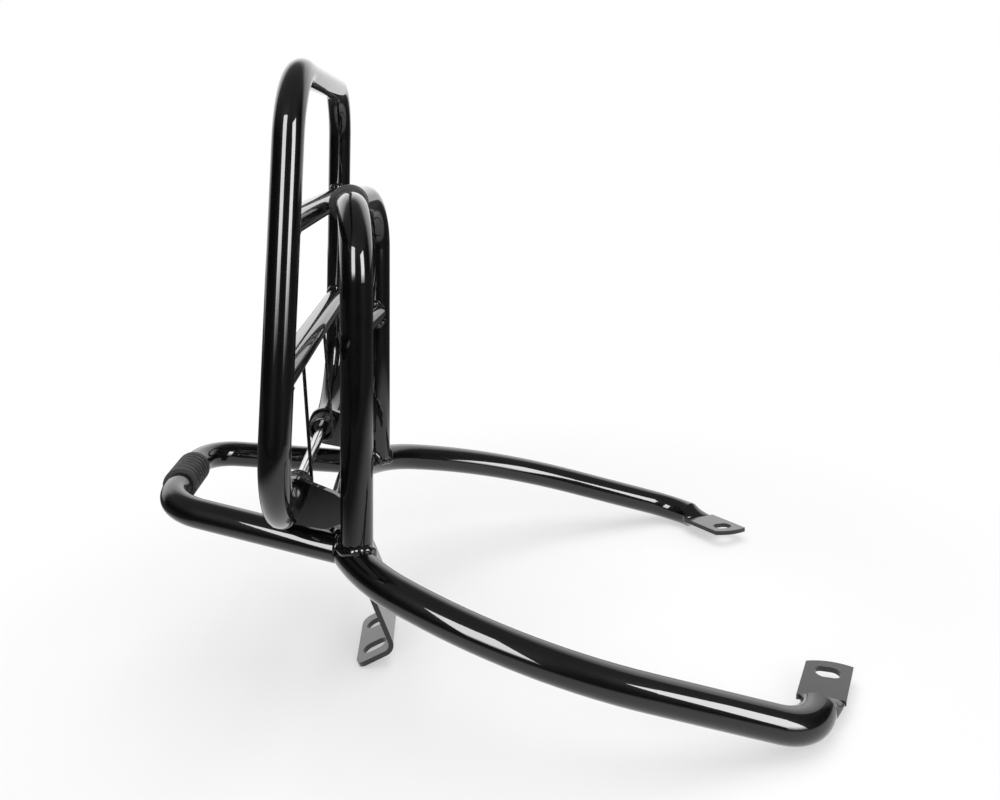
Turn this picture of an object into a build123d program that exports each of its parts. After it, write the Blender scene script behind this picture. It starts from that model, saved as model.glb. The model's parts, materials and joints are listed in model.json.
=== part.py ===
"""Sprung folding luggage rack for a scooter, bent and welded from steel tube.

+X points forward, +Y to the left, +Z up. The rack stands on its bracket foot and on
the undersides of its two front bends, all at Z = 0, and Y = 0 is its middle plane.
"""

import os
from math import acos, asin, atan2, cos, degrees, hypot, pi, radians, sin, sqrt, tan

from build123d import *

os.makedirs("parts", exist_ok=True)

# Tube stock
main_d = 18.0
hoop_d = 18.0
tube_d = 16.0
bar_d = 15.0
tube_wall = 1.5

# Station of the hoop feet along the rack
hoop_x = -75.12

# Main horseshoe tube, drawn flat in its own sloping plane
main_slope = 19.87
main_back = 14.4
main_reach = 257.6
main_rear_half = 28.0
main_corner_r = 80.0
main_corner_turn = 61.0
main_flank_r = 268.0
drain_d = 4.0
drain_before_bend = 14.0

# Front bends and the flat tabs pressed from the tube ends
front_bend_r = 32.0
front_turn_in = 57.4
press_length = 8.7
press_crease = 0.5
tab_length = 30.6
tab_width = 24.2
tab_skew = 18.0
tab_tilt = 6.0
tab_arch = 2.2
slot_width = 9.0
slot_length = 14.0
slot_to_tip = 7.9

# Hoop
hoop_half = 71.0
hoop_lean = 4.2
hoop_bend_r = 37.0
hoop_bow_r = 45.0
hoop_bar_rise = 103.06
hoop_bar_bow = 11.0

# Rear loop
loop_foot_half = 65.0
loop_reach = 110.75
loop_rise = 23.06
loop_corner_half = 42.2
loop_bend_r = 27.0

# Rubber sleeves
stop_sleeve_ribs = 3
stop_sleeve_wall = 2.8
stop_gap = 0.3
stop_above_bar = 0.93
rest_sleeve_ribs = 7
rest_sleeve_wall = 2.3
rib_pitch = 4.0
rib_depth = 0.7

# Pivot and folding panel
pivot_behind_hoop = 33.55
pivot_rise = 29.76
panel_lean = 5.9
panel_rise = 234.6
panel_low_half = 125.6
panel_top_half = 101.8
panel_low_bend_r = 46.0
panel_top_bend_r = 40.0
low_bar_rise = 79.4
high_bar_rise = 156.2

# Hinge
rod_d = 7.0
rod_clearance = 0.05
lug_thickness = 4.0
lug_nose_r = 10.5
lug_heel_r = 5.0
lug_heel_below = 10.1
lug_shoulder_r = 10.8
lug_shoulder_ahead = 16.4
lug_shoulder_below = 8.9
lug_root = 5.0
lug_root_below = 15.0
lug_seat = 2.5
boss_d = 12.0
boss_length = 10.0
washer_d = 15.0
washer_thickness = 1.2
side_clearance = 0.3
plug_length = 8.0

# Torsion springs
wire_d = 2.0
coil_whole_turns = 6
coil_gap = 0.15
coil_bore_clearance = 0.6
spring_hole_clearance = 0.3
tail_reach = 11.5

# Lower bracket
plate = 3.0
bracket_width = 51.0
foot_length = 26.0
foot_slope = 20.6
foot_behind_hoop = 11.0
foot_corner_r = 6.0
bracket_bend_r = 4.0
bracket_slot_width = 9.5
bracket_slot_length = 15.5
bracket_slot_half = 13.4
bracket_slot_from_edge = 11.6

# Derived radii and stations
main_r = main_d / 2
hoop_r = hoop_d / 2
tube_r = tube_d / 2
bar_r = bar_d / 2
rod_r = rod_d / 2
wire_r = wire_d / 2
stop_r = hoop_r + stop_sleeve_wall
rest_r = tube_r + rest_sleeve_wall
loop_rear_x = hoop_x - loop_reach
pivot_x = hoop_x - pivot_behind_hoop
foot_rear_x = hoop_x - foot_behind_hoop

# The main tube slopes from its rear bend down to front axes one radius above the ground
slope_cos = cos(radians(main_slope))
slope_sin = sin(radians(main_slope))
main_rear_x = hoop_x - main_back
main_rear_z = main_r + main_reach * slope_sin
loop_rear_z = main_rear_z + loop_rise
pivot_z = main_rear_z + pivot_rise
hoop_bar_z = main_rear_z + hoop_bar_rise
main_plane = Plane(
    origin=(main_rear_x, 0, main_rear_z),
    x_dir=(slope_cos, 0, -slope_sin),
    z_dir=(slope_sin, 0, slope_cos),
)

# Centres of the two arcs that make each side of the horseshoe
turn_cos = cos(radians(main_corner_turn))
turn_sin = sin(radians(main_corner_turn))
corner_centre = (main_corner_r, main_rear_half)
flank_centre = (
    main_corner_r + (main_flank_r - main_corner_r) * turn_cos,
    main_rear_half - (main_flank_r - main_corner_r) * turn_sin,
)
arm_half = flank_centre[1] + main_flank_r

# Beyond the front corner the tube runs level and turns in, and its tab tilts down to the front
in_cos = cos(radians(front_turn_in))
in_sin = sin(radians(front_turn_in))
tilt_cos = cos(radians(tab_tilt))
tilt_sin = sin(radians(tab_tilt))
skew_cos = cos(radians(tab_skew))
skew_sin = sin(radians(tab_skew))
front_x = main_rear_x + main_reach * slope_cos
bend_turn = acos(slope_cos * in_cos)
bend_setback = front_bend_r * tan(bend_turn / 2)
end_plane = Plane(
    origin=(front_x, arm_half, main_r),
    x_dir=(in_cos, -in_sin, 0),
    z_dir=(tilt_sin * in_sin, tilt_sin * in_cos, tilt_cos),
)
bend_plane = Plane(
    origin=end_plane.origin,
    x_dir=main_plane.x_dir,
    z_dir=main_plane.x_dir.cross(end_plane.x_dir),
)
crease_along = bend_setback + press_length
tip_along = crease_along + tab_length
tab_thickness = 2 * tube_wall
tab_half = tab_width / 2
tab_lead = tab_half * skew_sin / skew_cos
press_plane = Plane(
    origin=end_plane.from_local_coords((bend_setback, 0, 0)),
    x_dir=end_plane.y_dir,
    z_dir=end_plane.x_dir,
)
crease_plane = Plane(
    origin=end_plane.from_local_coords((crease_along, 0, 0)),
    x_dir=end_plane.y_dir * skew_cos + end_plane.x_dir * skew_sin,
    z_dir=end_plane.x_dir * skew_cos - end_plane.y_dir * skew_sin,
)


def main_axis(half):
    """Point of the main tube's axis at a distance from the middle, on its rear corner."""
    turn = asin((half - main_rear_half) / main_corner_r)
    return main_plane.from_local_coords((main_corner_r * (1 - cos(turn)), half, 0))


# Main tube axis, from the middle of its rear to the start of the pressed end
with BuildLine(main_plane) as main_line:
    Line((0, 0), (0, main_rear_half))
    CenterArc(corner_centre, main_corner_r, 180, -main_corner_turn)
    CenterArc(flank_centre, main_flank_r, 180 - main_corner_turn, main_corner_turn - 90)
    Line((flank_centre[0], arm_half), (main_reach - bend_setback, arm_half))
with BuildLine(bend_plane) as bend_line:
    CenterArc((-bend_setback, front_bend_r), front_bend_r, -90, degrees(bend_turn))
with BuildLine() as main_path:
    add(main_line.edges())
    add(bend_line.edges())
main_wire = main_path.wire()

# Outside of the bent main tube, which every tube welded to it is cut to fit
with BuildPart() as main_outside:
    with BuildSketch(main_wire ^ 0):
        Circle(main_r)
    sweep(path=main_wire)
    mirror(about=Plane.XZ)

# Main tube with its bore, drain holes and pressed, slotted ends
with BuildPart() as main_tube:
    with BuildSketch(main_wire ^ 0):
        Circle(main_r)
    sweep(path=main_wire)
    with BuildSketch(press_plane):
        Circle(main_r)
    with BuildSketch(press_plane.offset(press_length / 2)):
        Ellipse((main_d + tab_width) / 4, (main_d + tab_thickness) / 4)
    with BuildSketch(crease_plane):
        Ellipse(tab_half / skew_cos - press_crease, tab_thickness / 2 + press_crease)
    loft()
    with BuildSketch(end_plane):
        with BuildLine():
            Polyline(
                (tip_along - tab_lead, -tab_half),
                (crease_along - tab_lead - press_crease, -tab_half),
                (crease_along + tab_lead - press_crease, tab_half),
                (tip_along + tab_lead, tab_half),
            )
            ThreePointArc(
                (tip_along + tab_lead, tab_half),
                (tip_along + tab_arch * skew_cos, -tab_arch * skew_sin),
                (tip_along - tab_lead, -tab_half),
            )
        make_face()
        with Locations((tip_along - slot_to_tip, 0)):
            SlotOverall(slot_length, slot_width, rotation=90 - tab_skew, mode=Mode.SUBTRACT)
    extrude(amount=tab_thickness / 2, both=True)
    with BuildSketch(main_wire ^ 0):
        Circle(main_r - tube_wall)
    sweep(path=main_wire, mode=Mode.SUBTRACT)
    with BuildSketch(main_plane):
        with Locations((main_reach - bend_setback - drain_before_bend, arm_half)):
            Circle(drain_d / 2)
    extrude(amount=-main_d, mode=Mode.SUBTRACT)
    mirror(about=Plane.XZ)
main_tube.part.label = "main_tube"
export_step(main_tube.part, "parts/main_tube.step")

# Rear loop, cut to the back of the main tube
loop_foot = main_axis(loop_foot_half)
with BuildLine() as loop_line:
    FilletPolyline(
        (loop_foot.X, loop_foot_half, loop_foot.Z),
        (loop_rear_x, loop_corner_half, loop_rear_z),
        (loop_rear_x, -loop_corner_half, loop_rear_z),
        (loop_foot.X, -loop_foot_half, loop_foot.Z),
        radius=loop_bend_r,
    )
loop_wire = loop_line.wire()
with BuildPart() as rear_loop:
    with BuildSketch(loop_wire ^ 0):
        Circle(tube_r)
        Circle(tube_r - tube_wall, mode=Mode.SUBTRACT)
    sweep(path=loop_wire)
    add(main_outside.part, mode=Mode.SUBTRACT)
rear_loop.part.label = "rear_loop"
export_step(rear_loop.part, "parts/rear_loop.step")

# Panel plane: Y across, local Y up the legs, leaning forward from the pivot
lean_cos = cos(radians(panel_lean))
lean_sin = sin(radians(panel_lean))
panel_plane = Plane(
    origin=(pivot_x, 0, pivot_z), x_dir=(0, 1, 0), z_dir=(lean_cos, 0, -lean_sin)
)
high_bar_x = pivot_x + high_bar_rise * lean_sin
high_bar_z = pivot_z + high_bar_rise * lean_cos

# Hoop: straight legs, with the top bowed back until its sleeve meets the panel's upper bar
hoop_foot_z = main_axis(hoop_half).Z
hoop_top_z = high_bar_z + stop_above_bar
hoop_lean_tan = tan(radians(hoop_lean))
hoop_corner_x = hoop_x + (hoop_top_z - hoop_foot_z) * hoop_lean_tan
stop_x = high_bar_x + sqrt((stop_r + bar_r + stop_gap) ** 2 - stop_above_bar**2)
bow_run = hypot(hoop_corner_x - stop_x, hoop_half)
bow_x = stop_x - hoop_bow_r * (bow_run / hoop_half - 1)
with BuildLine() as hoop_line:
    FilletPolyline(
        (hoop_x, hoop_half, hoop_foot_z),
        (hoop_corner_x, hoop_half, hoop_top_z),
        (bow_x, 0, hoop_top_z),
        (hoop_corner_x, -hoop_half, hoop_top_z),
        (hoop_x, -hoop_half, hoop_foot_z),
        radius=[hoop_bend_r, hoop_bow_r, hoop_bend_r],
    )
hoop_wire = hoop_line.wire()
with BuildPart() as hoop_outside:
    with BuildSketch(hoop_wire ^ 0):
        Circle(hoop_r)
    sweep(path=hoop_wire)
with BuildPart() as hoop_tube:
    with BuildSketch(hoop_wire ^ 0):
        Circle(hoop_r)
        Circle(hoop_r - tube_wall, mode=Mode.SUBTRACT)
    sweep(path=hoop_wire)
    add(main_outside.part, mode=Mode.SUBTRACT)
hoop_tube.part.label = "hoop_tube"
export_step(hoop_tube.part, "parts/hoop_tube.step")

# Crossbar of the hoop, bowed back like its top, with its ends cut to the legs
hoop_bar_x = hoop_x + (hoop_bar_z - hoop_foot_z) * hoop_lean_tan
with BuildLine() as bar_line:
    FilletPolyline(
        (hoop_bar_x, hoop_half, hoop_bar_z),
        (hoop_bar_x - hoop_bar_bow, 0, hoop_bar_z),
        (hoop_bar_x, -hoop_half, hoop_bar_z),
        radius=hoop_bow_r,
    )
bar_wire = bar_line.wire()
with BuildPart() as hoop_crossbar:
    with BuildSketch(bar_wire ^ 0):
        Circle(bar_r)
        Circle(bar_r - tube_wall, mode=Mode.SUBTRACT)
    sweep(path=bar_wire)
    add(hoop_outside.part, mode=Mode.SUBTRACT)
hoop_crossbar.part.label = "hoop_crossbar"
export_step(hoop_crossbar.part, "parts/hoop_crossbar.step")

# Ribbed rubber sleeve on the hoop's top, the stop in front of the panel's upper bar
with BuildPart() as stop_sleeve:
    with BuildSketch(Plane(origin=(stop_x, 0, hoop_top_z), x_dir=(0, 1, 0), z_dir=(1, 0, 0))):
        Rectangle(stop_sleeve_ribs * rib_pitch, stop_r, align=(Align.CENTER, Align.MIN))
        with Locations((0, stop_r)):
            with GridLocations(rib_pitch, 0, stop_sleeve_ribs - 1, 1):
                Rectangle(rib_pitch / 3, 2 * rib_depth, mode=Mode.SUBTRACT)
    revolve(axis=Axis((stop_x, 0, hoop_top_z), (0, 1, 0)))
    add(hoop_outside.part, mode=Mode.SUBTRACT)
stop_sleeve.part.label = "stop_sleeve"
export_step(stop_sleeve.part, "parts/stop_sleeve.step")

# Ribbed rubber sleeve on the loop's rear bar, the rest that the folded panel lands on
with BuildPart() as rest_sleeve:
    with BuildSketch(Plane(origin=(loop_rear_x, 0, loop_rear_z), x_dir=(0, 1, 0), z_dir=(1, 0, 0))):
        with Locations((0, tube_r)):
            Rectangle(rest_sleeve_ribs * rib_pitch, rest_sleeve_wall, align=(Align.CENTER, Align.MIN))
        with Locations((0, rest_r)):
            with GridLocations(rib_pitch, 0, rest_sleeve_ribs - 1, 1):
                Rectangle(rib_pitch / 3, 2 * rib_depth, mode=Mode.SUBTRACT)
    revolve(axis=Axis((loop_rear_x, 0, loop_rear_z), (0, 1, 0)))
rest_sleeve.part.label = "rest_sleeve"
export_step(rest_sleeve.part, "parts/rest_sleeve.step")

# Lower bracket: a bent plate whose leg is cut to the underside of the main tube
foot_cos = cos(radians(foot_slope))
foot_sin = sin(radians(foot_slope))
corner_x = foot_rear_x + foot_length * foot_cos
corner_z = foot_length * foot_sin
leg_run = hypot(main_rear_x - corner_x, main_rear_z - corner_z)
leg_cos = (main_rear_x - corner_x) / leg_run
leg_sin = (main_rear_z - corner_z) / leg_run
inside = plate / (1 + foot_sin * leg_sin + foot_cos * leg_cos)
inner_x = corner_x - inside * (foot_sin + leg_sin)
inner_z = corner_z + inside * (foot_cos + leg_cos)
foot_plane = Plane(
    origin=(foot_rear_x, 0, 0), x_dir=(foot_cos, 0, foot_sin), z_dir=(-foot_sin, 0, foot_cos)
)
with BuildPart() as lower_bracket:
    with BuildSketch(Plane.XZ) as bracket_profile:
        with BuildLine():
            Polyline(
                (foot_rear_x, 0),
                (corner_x, corner_z),
                (main_rear_x, main_rear_z),
                (main_rear_x - plate * leg_sin, main_rear_z + plate * leg_cos),
                (inner_x, inner_z),
                (foot_rear_x - plate * foot_sin, plate * foot_cos),
                close=True,
            )
        make_face()
        fillet(bracket_profile.vertices().sort_by(Axis.X)[-1], bracket_bend_r + plate)
        fillet(bracket_profile.vertices().sort_by_distance((inner_x, inner_z))[0], bracket_bend_r)
    extrude(amount=bracket_width / 2, both=True)
    rear_face = lower_bracket.faces().sort_by(Axis((0, 0, 0), (foot_cos, 0, foot_sin)))[0]
    fillet(rear_face.edges().filter_by(Axis.Y, reverse=True), foot_corner_r)
    with BuildSketch(foot_plane):
        with GridLocations(0, 2 * bracket_slot_half, 1, 2):
            with Locations((bracket_slot_from_edge, 0)):
                SlotOverall(bracket_slot_length, bracket_slot_width)
    extrude(amount=2 * plate, both=True, mode=Mode.SUBTRACT)
    add(main_outside.part, mode=Mode.SUBTRACT)
lower_bracket.part.label = "lower_bracket"
export_step(lower_bracket.part, "parts/lower_bracket.step")

# Hinge lugs on the inner sides of the hoop legs, with a bush for the rod and the spring
lug_outer = hoop_half - hoop_r + lug_seat
lug_inner = lug_outer - lug_thickness
boss_end = lug_inner - boss_length
lug_root_z = pivot_z - lug_root_below
lug_root_x = hoop_x + (lug_root_z - hoop_foot_z) * hoop_lean_tan
with BuildPart() as lug_left:
    with BuildSketch(Plane.XZ.offset(-lug_outer)):
        with Locations((pivot_x, pivot_z)):
            Circle(lug_nose_r)
        with Locations((pivot_x, pivot_z - lug_heel_below)):
            Circle(lug_heel_r)
        with Locations((pivot_x + lug_shoulder_ahead, pivot_z - lug_shoulder_below)):
            Circle(lug_shoulder_r)
        with BuildLine():
            Line((lug_root_x, lug_root_z), (lug_root_x, lug_root_z + lug_root))
        make_hull()
        with Locations((pivot_x, pivot_z)):
            Circle(rod_r + rod_clearance, mode=Mode.SUBTRACT)
    extrude(amount=lug_thickness)
    add(hoop_outside.part, mode=Mode.SUBTRACT)
lug_left.part.label = "hinge_lug_left"
export_step(lug_left.part, "parts/hinge_lug_left.step")
with BuildPart() as lug_right:
    mirror(lug_left.part, about=Plane.XZ)
lug_right.part.label = "hinge_lug_right"
export_step(lug_right.part, "parts/hinge_lug_right.step")

with BuildPart() as boss_left:
    with BuildSketch(Plane.XZ.offset(-boss_end)):
        with Locations((pivot_x, pivot_z)):
            Circle(boss_d / 2)
            Circle(rod_r + rod_clearance, mode=Mode.SUBTRACT)
    extrude(amount=-boss_length)
boss_left.part.label = "pivot_boss_left"
export_step(boss_left.part, "parts/pivot_boss_left.step")
with BuildPart() as boss_right:
    mirror(boss_left.part, about=Plane.XZ)
boss_right.part.label = "pivot_boss_right"
export_step(boss_right.part, "parts/pivot_boss_right.step")

# Spring layout: the tail leaves the coil on a tangent and lies on the loop's side tube
coil_r = boss_d / 2 + coil_bore_clearance + wire_r
coil_pitch = wire_d + coil_gap
coil_climb = coil_pitch / (2 * pi * coil_r)
tail_x = pivot_x - tail_reach
tail_y = lug_inner - side_clearance - wire_r
loop_share = (tail_x - loop_foot.X) / (loop_rear_x - loop_foot.X)
loop_fall = (loop_rear_z - loop_foot.Z) / (loop_foot.X - loop_rear_x)
tail_aside = tail_y - loop_foot_half - (loop_corner_half - loop_foot_half) * loop_share
tail_lift = sqrt((tube_r + wire_r + side_clearance) ** 2 - tail_aside**2)
tail_z = loop_foot.Z + (loop_rear_z - loop_foot.Z) * loop_share + tail_lift * hypot(1, loop_fall)
tail_length = sqrt(tail_reach**2 + (tail_z - pivot_z) ** 2 - coil_r**2)
tail_turn = atan2(pivot_z - tail_z, -tail_reach) - atan2(tail_length, coil_r)
coil_length = coil_pitch * (coil_whole_turns + tail_turn / (2 * pi))
coil_start = tail_y - tail_length * coil_climb - coil_length

# Panel: one tube whose lower ends turn in along the pivot axis and stop beside the lugs
stub_half = lug_outer + side_clearance + washer_thickness
with BuildLine(panel_plane) as panel_line:
    FilletPolyline(
        (stub_half, 0),
        (panel_low_half, 0),
        (panel_top_half, panel_rise),
        (-panel_top_half, panel_rise),
        (-panel_low_half, 0),
        (-stub_half, 0),
        radius=[panel_low_bend_r, panel_top_bend_r, panel_top_bend_r, panel_low_bend_r],
    )
panel_wire = panel_line.wire()
with BuildPart() as panel_outside:
    with BuildSketch(panel_wire ^ 0):
        Circle(tube_r)
    sweep(path=panel_wire)
with BuildPart() as panel_tube:
    with BuildSketch(panel_wire ^ 0):
        Circle(tube_r)
        Circle(tube_r - tube_wall, mode=Mode.SUBTRACT)
    sweep(path=panel_wire)
panel_tube.part.label = "panel_tube"
export_step(panel_tube.part, "parts/panel_tube.step")

# Crossbars of the panel, cut to its legs; the lower one has a hole for each spring wire
panel_taper = (panel_top_half - panel_low_half) / panel_rise
low_bar_half = panel_low_half + panel_taper * low_bar_rise
high_bar_half = panel_low_half + panel_taper * high_bar_rise
low_bar_z = pivot_z + low_bar_rise * lean_cos
wire_hole_half = coil_start - (low_bar_z - bar_r - pivot_z) * coil_climb
with BuildPart() as panel_low_bar:
    with BuildSketch(Plane.XZ):
        with Locations((pivot_x + low_bar_rise * lean_sin, low_bar_z)):
            Circle(bar_r)
            Circle(bar_r - tube_wall, mode=Mode.SUBTRACT)
    extrude(amount=low_bar_half, both=True)
    with BuildSketch(Plane.XY.offset(low_bar_z)):
        with Locations((pivot_x + coil_r, wire_hole_half), (pivot_x + coil_r, -wire_hole_half)):
            Circle(wire_r + spring_hole_clearance)
    extrude(amount=-bar_d, mode=Mode.SUBTRACT)
    add(panel_outside.part, mode=Mode.SUBTRACT)
panel_low_bar.part.label = "panel_low_bar"
export_step(panel_low_bar.part, "parts/panel_low_bar.step")
with BuildPart() as panel_high_bar:
    with BuildSketch(Plane.XZ):
        with Locations((high_bar_x, high_bar_z)):
            Circle(bar_r)
            Circle(bar_r - tube_wall, mode=Mode.SUBTRACT)
    extrude(amount=high_bar_half, both=True)
    add(panel_outside.part, mode=Mode.SUBTRACT)
panel_high_bar.part.label = "panel_high_bar"
export_step(panel_high_bar.part, "parts/panel_high_bar.step")

# Pivot rod, held in plugs that close the panel's stubs, with a washer beside each lug
rod_half = stub_half + plug_length
with BuildPart() as pivot_rod:
    with BuildSketch(Plane.XZ):
        with Locations((pivot_x, pivot_z)):
            Circle(rod_r)
    extrude(amount=rod_half, both=True)
pivot_rod.part.label = "pivot_rod"
export_step(pivot_rod.part, "parts/pivot_rod.step")

with BuildPart() as plug_left:
    with BuildSketch(Plane.XZ.offset(-stub_half)):
        with Locations((pivot_x, pivot_z)):
            Circle(tube_r - tube_wall)
            Circle(rod_r, mode=Mode.SUBTRACT)
    extrude(amount=-plug_length)
plug_left.part.label = "stub_plug_left"
export_step(plug_left.part, "parts/stub_plug_left.step")
with BuildPart() as plug_right:
    mirror(plug_left.part, about=Plane.XZ)
plug_right.part.label = "stub_plug_right"
export_step(plug_right.part, "parts/stub_plug_right.step")

with BuildPart() as washer_left:
    with BuildSketch(Plane.XZ.offset(-stub_half)):
        with Locations((pivot_x, pivot_z)):
            Circle(washer_d / 2)
            Circle(rod_r, mode=Mode.SUBTRACT)
    extrude(amount=washer_thickness)
washer_left.part.label = "pivot_washer_left"
export_step(washer_left.part, "parts/pivot_washer_left.step")
with BuildPart() as washer_right:
    mirror(washer_left.part, about=Plane.XZ)
washer_right.part.label = "pivot_washer_right"
export_step(washer_right.part, "parts/pivot_washer_right.step")

# Torsion springs: a close coil round the bush, with a tail and a long arm up to the lower bar
coil_plane = Plane(origin=(pivot_x, coil_start, pivot_z), x_dir=(1, 0, 0), z_dir=(0, 1, 0))
arm_rise = low_bar_z - bar_r + 2 * tube_wall - pivot_z
with BuildLine() as coil_line:
    Helix(coil_pitch, coil_length, coil_r)
coil = coil_plane.location * coil_line.edge()
with BuildLine() as spring_line:
    Line((pivot_x + coil_r, coil_start - arm_rise * coil_climb, pivot_z + arm_rise), coil @ 0)
    add(coil)
    Line(coil @ 1, (tail_x, tail_y, tail_z))
spring_wire = spring_line.wire()
with BuildPart() as spring_left:
    with BuildSketch(spring_wire ^ 0):
        Circle(wire_r)
    sweep(path=spring_wire)
spring_left.part.label = "torsion_spring_left"
export_step(spring_left.part, "parts/torsion_spring_left.step")
with BuildPart() as spring_right:
    mirror(spring_left.part, about=Plane.XZ)
spring_right.part.label = "torsion_spring_right"
export_step(spring_right.part, "parts/torsion_spring_right.step")
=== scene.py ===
"""Studio scene of the sprung folding luggage rack: finishes, weld beads, copies of the springs, light,
camera.
"""

import json
from math import cos, pi, radians, sin

import bmesh
import bpy
from mathutils import Euler, Matrix, Vector
from mathutils.bvhtree import BVHTree


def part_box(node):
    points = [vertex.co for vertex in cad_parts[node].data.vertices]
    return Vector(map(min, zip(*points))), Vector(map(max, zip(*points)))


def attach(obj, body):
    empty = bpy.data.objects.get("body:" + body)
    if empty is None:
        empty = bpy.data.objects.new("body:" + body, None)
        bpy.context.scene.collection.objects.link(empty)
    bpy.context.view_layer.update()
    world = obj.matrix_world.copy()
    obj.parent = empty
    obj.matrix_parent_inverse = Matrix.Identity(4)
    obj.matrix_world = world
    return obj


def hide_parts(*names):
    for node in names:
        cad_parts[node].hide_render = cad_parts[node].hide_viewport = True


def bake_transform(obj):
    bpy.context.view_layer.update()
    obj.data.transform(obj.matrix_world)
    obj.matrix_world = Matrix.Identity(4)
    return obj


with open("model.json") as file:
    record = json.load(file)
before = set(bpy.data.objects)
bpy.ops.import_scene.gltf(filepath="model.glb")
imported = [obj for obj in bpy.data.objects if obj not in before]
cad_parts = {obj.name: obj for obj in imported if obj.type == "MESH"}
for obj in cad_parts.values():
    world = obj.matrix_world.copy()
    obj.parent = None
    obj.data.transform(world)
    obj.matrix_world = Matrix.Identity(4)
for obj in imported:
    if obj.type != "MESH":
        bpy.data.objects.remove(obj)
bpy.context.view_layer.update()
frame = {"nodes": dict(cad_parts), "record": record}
nodes = frame["nodes"]
scene = bpy.context.scene

MM = 0.001
SIDES = ((1, "left"), (-1, "right"))


# Shader helpers

def smooth_step(tree, value, start, end, low=0.0, high=1.0):
    """A value that goes smoothly from low at start to high at end."""
    node = tree.nodes.new("ShaderNodeMapRange")
    node.interpolation_type = "SMOOTHSTEP"
    node.inputs["From Min"].default_value = start
    node.inputs["From Max"].default_value = end
    node.inputs["To Min"].default_value = low
    node.inputs["To Max"].default_value = high
    tree.links.new(value, node.inputs["Value"])
    return node.outputs["Result"]


def mix_shaders(tree, share, first, second):
    """The first shader where share is 0 and the second where it is 1."""
    node = tree.nodes.new("ShaderNodeMixShader")
    tree.links.new(share, node.inputs["Fac"])
    tree.links.new(first, node.inputs[1])
    tree.links.new(second, node.inputs[2])
    return node.outputs["Shader"]


def combine(tree, operation, first, second):
    """Sum, product or the like of two values."""
    node = tree.nodes.new("ShaderNodeMath")
    node.operation = operation
    tree.links.new(first, node.inputs[0])
    tree.links.new(second, node.inputs[1])
    return node.outputs["Value"]


# Materials

RAMP_START = 0.3
RAMP_END = 0.7


def new_material(name):
    """A material with its node tree, its shader and the object's own coordinates."""
    mat = bpy.data.materials.new(name)
    mat.use_nodes = True
    tree = mat.node_tree
    coords = tree.nodes.new("ShaderNodeTexCoord")
    return mat, tree, tree.nodes["Principled BSDF"], coords.outputs["Object"]


def noise(tree, coords, scale, detail, stretch=None):
    """Fractal noise over the coordinates, squeezed by stretch along each axis."""
    if stretch:
        mapping = tree.nodes.new("ShaderNodeMapping")
        mapping.inputs["Scale"].default_value = stretch
        tree.links.new(coords, mapping.inputs["Vector"])
        coords = mapping.outputs["Vector"]
    node = tree.nodes.new("ShaderNodeTexNoise")
    node.inputs["Scale"].default_value = scale
    node.inputs["Detail"].default_value = detail
    tree.links.new(coords, node.inputs["Vector"])
    return node.outputs["Fac"]


def tint(tree, bsdf, value, low, high):
    """Base colour between two tones that follow a noise."""
    node = tree.nodes.new("ShaderNodeValToRGB")
    first, last = node.color_ramp.elements
    first.position = RAMP_START
    first.color = (*low, 1)
    last.position = RAMP_END
    last.color = (*high, 1)
    tree.links.new(value, node.inputs["Fac"])
    tree.links.new(node.outputs["Color"], bsdf.inputs["Base Color"])


def roughen(tree, bsdf, value, low, high):
    """Roughness between two levels that follow a noise."""
    node = tree.nodes.new("ShaderNodeMapRange")
    node.inputs["To Min"].default_value = low
    node.inputs["To Max"].default_value = high
    tree.links.new(value, node.inputs["Value"])
    tree.links.new(node.outputs["Result"], bsdf.inputs["Roughness"])


def bump(tree, bsdf, height, distance, strength, socket="Normal"):
    """Relief from a noise, on the surface or on its clear coat."""
    node = tree.nodes.new("ShaderNodeBump")
    node.inputs["Distance"].default_value = distance
    node.inputs["Strength"].default_value = strength
    tree.links.new(height, node.inputs["Height"])
    tree.links.new(node.outputs["Normal"], bsdf.inputs[socket])


def gloss_black():
    """Deep black paint under a hard clear coat, with a faint orange peel."""
    mat, tree, bsdf, coords = new_material("gloss_black")
    cloud = noise(tree, coords, scale=55, detail=3)
    tint(tree, bsdf, cloud, low=(0.0007, 0.0007, 0.0008), high=(0.0018, 0.0018, 0.002))
    roughen(tree, bsdf, noise(tree, coords, scale=140, detail=3), low=0.3, high=0.45)
    bsdf.inputs["Specular IOR Level"].default_value = 0.05
    bsdf.inputs["Coat Weight"].default_value = 1.0
    bsdf.inputs["Coat Roughness"].default_value = 0.02
    bsdf.inputs["Coat IOR"].default_value = 1.52
    peel = noise(tree, coords, scale=420, detail=2)
    bump(tree, bsdf, peel, distance=0.06 * MM, strength=0.35)
    bump(tree, bsdf, peel, distance=0.03 * MM, strength=0.15, socket="Coat Normal")
    return mat


def rubber():
    """Matte moulded rubber with a fine grain and a little grey bloom."""
    mat, tree, bsdf, coords = new_material("rubber")
    bloom = noise(tree, coords, scale=160, detail=5)
    tint(tree, bsdf, bloom, low=(0.012, 0.012, 0.0125), high=(0.03, 0.03, 0.031))
    roughen(tree, bsdf, noise(tree, coords, scale=300, detail=3), low=0.55, high=0.78)
    bump(tree, bsdf, noise(tree, coords, scale=900, detail=4), distance=0.2 * MM, strength=0.6)
    return mat


def bright_steel():
    """Bright drawn steel with fine lines along the rod."""
    mat, tree, bsdf, coords = new_material("bright_steel")
    bsdf.inputs["Metallic"].default_value = 1.0
    lines = noise(tree, coords, scale=60, detail=4, stretch=(30, 1, 30))
    tint(tree, bsdf, lines, low=(0.36, 0.36, 0.37), high=(0.56, 0.56, 0.57))
    roughen(tree, bsdf, lines, low=0.1, high=0.24)
    bump(tree, bsdf, lines, distance=0.04 * MM, strength=0.3)
    return mat


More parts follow.
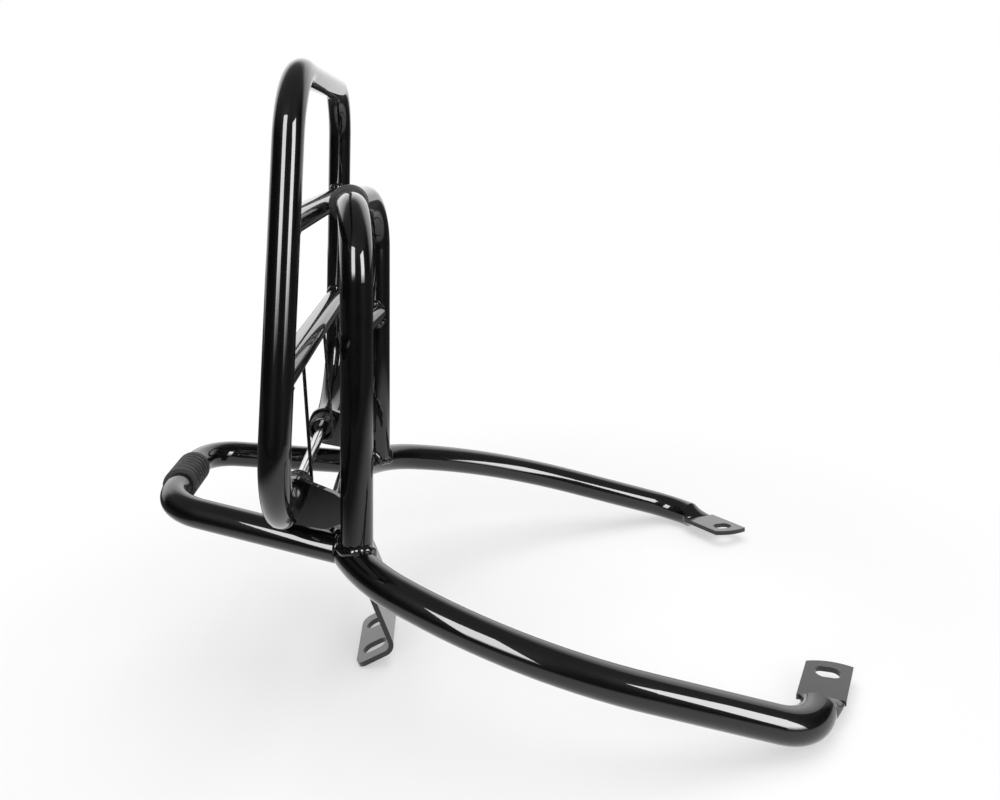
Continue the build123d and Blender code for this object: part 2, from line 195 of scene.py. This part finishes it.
def spring_steel():
    """Dark oiled spring wire."""
    mat, tree, bsdf, coords = new_material("spring_steel")
    bsdf.inputs["Metallic"].default_value = 1.0
    grain = noise(tree, coords, scale=500, detail=4)
    tint(tree, bsdf, grain, low=(0.028, 0.028, 0.03), high=(0.075, 0.075, 0.08))
    roughen(tree, bsdf, grain, low=0.2, high=0.36)
    bump(tree, bsdf, grain, distance=0.04 * MM, strength=0.4)
    return mat


finish = {
    "gloss_black": gloss_black(),
    "rubber": rubber(),
    "bright_steel": bright_steel(),
    "spring_steel": spring_steel(),
}
for subpart in frame["record"]["subparts"]:
    mesh = nodes[subpart["node"]].data
    mesh.materials.clear()
    mesh.materials.append(finish[subpart["material_slot"]])


# Weld beads

bead_r = 2.5 * MM
bead_height = 0.85  # of its width
bead_stand = 0.2  # of its radius, away from each of the two surfaces
bead_sides = 10
ripple_pitch = 5.2 * MM
ripple_depth = 0.1  # of the bead's radius
wander_depth = 0.05
wander_rate = 4.1  # radians in each ripple, so that no two ripples are alike
tip_size = 0.15  # of the radius, at an open bead's ends
tip_share = 1 / 3  # of an open bead's points, over which each end grows to full size
seam_points = 60
ray_narrowing = 0.94  # moves in a ray that misses the other tube
least_reach = 0.4  # of the tube's radius, where moving in ends


def at(x, y, z):
    """A place given in millimetres."""
    return Vector((x, y, z)) * MM


def skin(name):
    """Search tree of a CAD node's surface."""
    node = nodes[name]
    points = [node.matrix_world @ v.co for v in node.data.vertices]
    return BVHTree.FromPolygons(points, [p.vertices[:] for p in node.data.polygons])


def round_seam(base, end, back, radius, middle, span=180):
    """Where a round tube that comes from back and ends at end runs into a base tube.

    The seam reaches span degrees either way from middle. Each item is a point and the direction
    away from both tubes.
    """
    start = end + back
    aim = -back.normalized()
    side = (middle - middle.dot(aim) * aim).normalized()
    cross = aim.cross(side)
    steps = seam_points if span == 180 else seam_points - 1
    seam = []
    for k in range(seam_points):
        turn = radians(span) * (2 * k / steps - 1)
        out = cos(turn) * side + sin(turn) * cross
        reach = radius
        hit = None
        while hit is None and reach > least_reach * radius:
            hit, normal, _, _ = base.ray_cast(start + reach * out, aim)
            reach *= ray_narrowing
        away = out + normal
        seam.append((hit + bead_stand * bead_r * away, away.normalized()))
    return seam


def bead_radius(along):
    """The bead's radius at a length along its seam, with its ripples."""
    ripple = ripple_depth * sin(2 * pi * along / ripple_pitch)
    wander = wander_depth * sin(wander_rate * along / ripple_pitch)
    return bead_r * (1 + ripple + wander)


def bead(name, body, seam, closed=False):
    """Rippled bead of weld metal along a seam."""
    bm = bmesh.new()
    rings = []
    along = 0.0
    last = len(seam) - 1
    for k, (point, out) in enumerate(seam):
        before = seam[k - 1][0] if closed or k > 0 else point
        after = seam[(k + 1) % len(seam)][0] if closed or k < last else point
        tangent = (after - before).normalized()
        rise = (out - out.dot(tangent) * tangent).normalized()
        flat = tangent.cross(rise)
        if k > 0:
            along += (point - seam[k - 1][0]).length
        radius = bead_radius(along)
        if not closed:
            grown = min(k, last - k) / (tip_share * last)
            radius *= max(tip_size, min(1.0, grown))
        ring = []
        for j in range(bead_sides):
            turn = 2 * pi * j / bead_sides
            offset = cos(turn) * flat + bead_height * sin(turn) * rise
            ring.append(bm.verts.new(point + radius * offset))
        rings.append(ring)
    following_rings = rings[1:] + rings[:1] if closed else rings[1:]
    for ring, following in zip(rings, following_rings):
        for j in range(bead_sides):
            i = (j + 1) % bead_sides
            bm.faces.new((ring[j], ring[i], following[i], following[j]))
    if not closed:
        bm.faces.new(rings[0][::-1])
        bm.faces.new(rings[-1])
    bmesh.ops.recalc_face_normals(bm, faces=bm.faces)
    for face in bm.faces:
        face.smooth = True
    mesh = bpy.data.meshes.new(name)
    bm.to_mesh(mesh)
    bm.free()
    mesh.materials.append(finish["gloss_black"])
    obj = bpy.data.objects.new(name, mesh)
    scene.collection.objects.link(obj)
    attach(obj, body)


# Places of the welds on the left side, in millimetres, with spans in degrees either way
hoop_lean = radians(4.2)
hoop_foot = (-75.12, 71.0, 92.3)
hoop_seam_r = 8.6
hoop_run = 40.0  # back along the tube, to where the seam's rays start
loop_foot = (-81.0, 65.0, 93.5)
loop_way = (-104.9, -22.8, 26.1)
loop_seam_r = 7.6
loop_run = 45.0
loop_span = 95
bar_r = 7.5
hoop_bar_end = (-67.24, 71.0, 199.6)
hoop_bar_run = (-5.5, -35.5)
hoop_bar_span = 60
panel_bar_run = 40.0
panel_bar_span = 58
panel_bar_ends = {"low": 117.5, "high": 109.7}
lug_ray_x = -95.0
lug_y = 65.4
lug_top_z = 121.5
lug_step = 0.85
lug_points = 15
leg_lean = radians(17.607)
leg_corner = (-75.65, 52.85)
leg_half = 24.0
leg_step = 1.2
leg_points = 41
leg_stand = 0.25  # of the bead's radius
leg_offsets = {"front": 0.2, "rear": -3.2}  # from the leg's front face

main_skin = skin("main_tube")
hoop_skin = skin("hoop_tube")
panel_skin = skin("panel_tube")
hoop_up = Vector((sin(hoop_lean), 0, cos(hoop_lean)))
up = Vector((0, 0, 1))
left = Vector((0, 1, 0))
forward = Vector((1, 0, 0))


def mirrored(place, side):
    """A place on the left side, or its mirror image on the right side."""
    x, y, z = place
    return at(x, y * side, z)


def weld_feet(side, hand):
    """Feet of the hoop and of the loop, on the main tube."""
    hoop_seam = round_seam(
        main_skin, mirrored(hoop_foot, side), hoop_run * MM * hoop_up, hoop_seam_r * MM, left)
    bead(f"weld_hoop_foot_{hand}", "frame", hoop_seam, closed=True)
    away = loop_run * MM * mirrored(loop_way, side).normalized()
    loop_seam = round_seam(
        main_skin, mirrored(loop_foot, side), away, loop_seam_r * MM, up, loop_span)
    bead(f"weld_loop_foot_{hand}", "frame", loop_seam)


def weld_bars(side, hand):
    """Ends of the crossbars on the hoop and on the panel, welded above and below."""
    inward_x, inward_y = hoop_bar_run
    for way, level in ((1, "over"), (-1, "under")):
        hoop_seam = round_seam(
            hoop_skin, mirrored(hoop_bar_end, side), at(inward_x, inward_y * side, 0),
            bar_r * MM, way * up, hoop_bar_span)
        bead(f"weld_hoop_bar_{level}_{hand}", "frame", hoop_seam)
        for bar, half in panel_bar_ends.items():
            low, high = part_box(f"panel_{bar}_bar")
            end = (Vector(low) + Vector(high)) / 2
            end.y = half * side * MM
            panel_seam = round_seam(
                panel_skin, end, at(0, -panel_bar_run * side, 0), bar_r * MM, way * up, panel_bar_span)
            bead(f"weld_{bar}_bar_{level}_{hand}", "panel", panel_seam)


def weld_lug(side, hand):
    """Hinge lug on the hoop's leg."""
    seam = []
    for k in range(lug_points):
        start = at(lug_ray_x, lug_y * side, lug_top_z - lug_step * k)
        hit, normal, _, _ = hoop_skin.ray_cast(start, forward)
        seam.append((hit + bead_stand * bead_r * normal, normal))
    bead(f"weld_lug_{hand}", "frame", seam)


def weld_bracket():
    """Both faces of the bracket's leg, on the underside of the main tube."""
    leg_up = Vector((-sin(leg_lean), 0, cos(leg_lean)))
    leg_front = Vector((cos(leg_lean), 0, sin(leg_lean)))
    corner_x, corner_z = leg_corner
    for name, offset in leg_offsets.items():
        outward = leg_front if offset > 0 else -leg_front
        seam = []
        for k in range(leg_points):
            start = at(corner_x, leg_step * k - leg_half, corner_z) + offset * MM * leg_front
            hit, normal, _, _ = main_skin.ray_cast(start, leg_up)
            away = (outward + normal).normalized()
            seam.append((hit + leg_stand * bead_r * away, away))
        bead(f"weld_bracket_{name}", "frame", seam)


for side, hand in SIDES:
    weld_feet(side, hand)
    weld_bars(side, hand)
    weld_lug(side, hand)
weld_bracket()


# Copies of the torsion springs stand in for the spring parts, which are hidden

for side, hand in SIDES:
    wire = nodes[f"torsion_spring_{hand}"]
    spring = bpy.data.objects.new(f"winding_spring_{hand}", wire.data.copy())
    scene.collection.objects.link(spring)
    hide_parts(f"torsion_spring_{hand}")
    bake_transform(spring)


# Stage, in metres

floor_half = (2.2, 1.5)
floor_middle_y = 0.92
room_light = 0.5


def area(name, place, target, width, height, power, glossy=False, diffuse=True):
    """Rectangular lamp that the camera doesn't see."""
    light = bpy.data.lights.new(name, "AREA")
    light.shape = "RECTANGLE"
    light.size = width
    light.size_y = height
    light.energy = power
    lamp = bpy.data.objects.new(name, light)
    scene.collection.objects.link(lamp)
    lamp.location = place
    lamp.rotation_euler = (Vector(target) - Vector(place)).to_track_quat("-Z", "Y").to_euler()
    lamp.visible_camera = False
    lamp.visible_glossy = glossy
    lamp.visible_diffuse = diffuse
    return lamp


def softbox(name, place, target, width, height, power, dark, full):
    """Lamp seen in the paint only, which fades out from the height full down to the height dark."""
    lamp = area(name, place, target, width, height, power, glossy=True, diffuse=False)
    lamp.data.use_nodes = True
    tree = lamp.data.node_tree
    where = tree.nodes.new("ShaderNodeNewGeometry")
    axes = tree.nodes.new("ShaderNodeSeparateXYZ")
    tree.links.new(where.outputs["Position"], axes.inputs["Vector"])
    glow = smooth_step(tree, axes.outputs["Z"], start=dark, end=full)
    tree.links.new(glow, tree.nodes["Emission"].inputs["Strength"])


def floor_paper():
    """Pale paper that takes the rack's shadow and fades to the white background further out.

    The paint mirrors it as a white sheet with a dark surround.
    """
    mat, tree, bsdf, coords = new_material("floor_paper")
    fibre = noise(tree, coords, scale=9, detail=3)
    tint(tree, bsdf, fibre, low=(0.81, 0.81, 0.815), high=(0.84, 0.84, 0.845))
    bsdf.inputs["Roughness"].default_value = 0.8
    bsdf.inputs["Specular IOR Level"].default_value = 0.0
    paper = bsdf.outputs["BSDF"]
    reach = tree.nodes.new("ShaderNodeVectorMath")
    reach.operation = "LENGTH"
    tree.links.new(coords, reach.inputs[0])
    distance = reach.outputs["Value"]

    def glow(strength):
        node = tree.nodes.new("ShaderNodeEmission")
        tree.links.new(strength, node.inputs["Strength"])
        return node.outputs["Emission"]

    white = glow(smooth_step(tree, distance, start=0.15, end=0.42, low=0.87))
    sheet = glow(smooth_step(tree, distance, start=0.26, end=0.46, low=1.0, high=0.08))
    fade = smooth_step(tree, distance, start=0.12, end=0.42, low=0.5)
    path = tree.nodes.new("ShaderNodeLightPath")
    faded = mix_shaders(tree, fade, paper, white)
    seen = mix_shaders(tree, path.outputs["Is Camera Ray"], paper, faded)
    surface = mix_shaders(tree, path.outputs["Is Glossy Ray"], seen, sheet)
    tree.links.new(surface, tree.nodes["Material Output"].inputs["Surface"])
    return mat


def make_floor():
    """Flat sheet on the ground, most of it beyond the rack as the camera sees it."""
    mesh = bpy.data.meshes.new("floor")
    bm = bmesh.new()
    bmesh.ops.create_grid(bm, x_segments=1, y_segments=1, size=1.0)
    bmesh.ops.scale(bm, verts=bm.verts, vec=(*floor_half, 1))
    bmesh.ops.translate(bm, verts=bm.verts, vec=(0, floor_middle_y, 0))
    bm.to_mesh(mesh)
    bm.free()
    floor = bpy.data.objects.new("floor", mesh)
    scene.collection.objects.link(floor)
    mesh.materials.append(floor_paper())


def make_world():
    """White for the camera. The paint mirrors a white backdrop beyond the rack and a dim room elsewhere."""
    world = bpy.data.worlds.new("studio")
    scene.world = world
    world.use_nodes = True
    tree = world.node_tree
    tree.nodes.clear()
    out = tree.nodes.new("ShaderNodeOutputWorld")
    path = tree.nodes.new("ShaderNodeLightPath")
    coords = tree.nodes.new("ShaderNodeTexCoord")
    axes = tree.nodes.new("ShaderNodeSeparateXYZ")
    tree.links.new(coords.outputs["Generated"], axes.inputs["Vector"])
    beyond = axes.outputs["Y"]
    upward = axes.outputs["Z"]

    def background():
        node = tree.nodes.new("ShaderNodeBackground")
        node.inputs["Color"].default_value = (1, 1, 1, 1)
        return node

    far_side = smooth_step(tree, beyond, start=0.25, end=0.6)
    below_top = smooth_step(tree, upward, start=0.55, end=0.85, low=1.0, high=0.0)
    shade = smooth_step(tree, upward, start=0.04, end=0.3, low=1.1, high=1.7)
    room = smooth_step(tree, upward, start=0.2, end=0.8, low=0.02, high=0.26)
    backdrop = combine(tree, "MULTIPLY", combine(tree, "MULTIPLY", far_side, below_top), shade)
    mirror = background()
    tree.links.new(combine(tree, "MAXIMUM", backdrop, room), mirror.inputs["Strength"])
    fill = background()
    fill.inputs["Strength"].default_value = room_light
    white = background()
    white.inputs["Strength"].default_value = 1.0
    shiny = combine(tree, "MAXIMUM", path.outputs["Is Glossy Ray"], path.outputs["Is Transmission Ray"])
    lit = mix_shaders(tree, shiny, fill.outputs["Background"], mirror.outputs["Background"])
    seen = mix_shaders(tree, path.outputs["Is Camera Ray"], lit, white.outputs["Background"])
    tree.links.new(seen, out.inputs["Surface"])


make_floor()
make_world()

# The softboxes show in the paint only, and the fills and the overhead light never show in it
uprights = (-0.09, -0.12, 0.25)
softbox("left_box", place=(-0.41, -1.38, 0.71), target=uprights, width=0.59, height=1.18, power=32,
        dark=0.155, full=0.466)
softbox("right_box", place=(0.794, -0.774, 0.38), target=uprights, width=0.45, height=0.8, power=18,
        dark=-0.02, full=0.28)
area("left_fill", place=(-0.48, -1.03, 0.6), target=(-0.06, -0.06, 0.1), width=0.6, height=0.9, power=5)
area("right_fill", place=(0.55, -0.87, 0.6), target=(-0.02, -0.06, 0.1), width=0.6, height=0.9, power=5)
area("overhead", place=(0.0, 0.1, 1.6), target=(0, 0, 0), width=1.6, height=1.6, power=22)


# Camera, fitted to the photograph's view

camera_place = Vector((-0.01112, -0.53387, 0.31741))
camera_tilt = radians(87.0368)
camera_roll = radians(3.8216)
camera_heading = radians(-3.8543)

camera_data = bpy.data.cameras.new("camera")
camera_data.lens = 30.6
camera_data.sensor_width = 36.0
camera_data.sensor_fit = "HORIZONTAL"
camera_data.shift_x = -0.0015
camera_data.shift_y = -0.2185
camera_data.clip_start = 0.01
camera = bpy.data.objects.new("camera", camera_data)
scene.collection.objects.link(camera)
camera.matrix_world = Matrix.LocRotScale(
    camera_place, Euler((camera_tilt, camera_roll, camera_heading)), None)
scene.camera = camera
scene.view_settings.view_transform = "Standard"
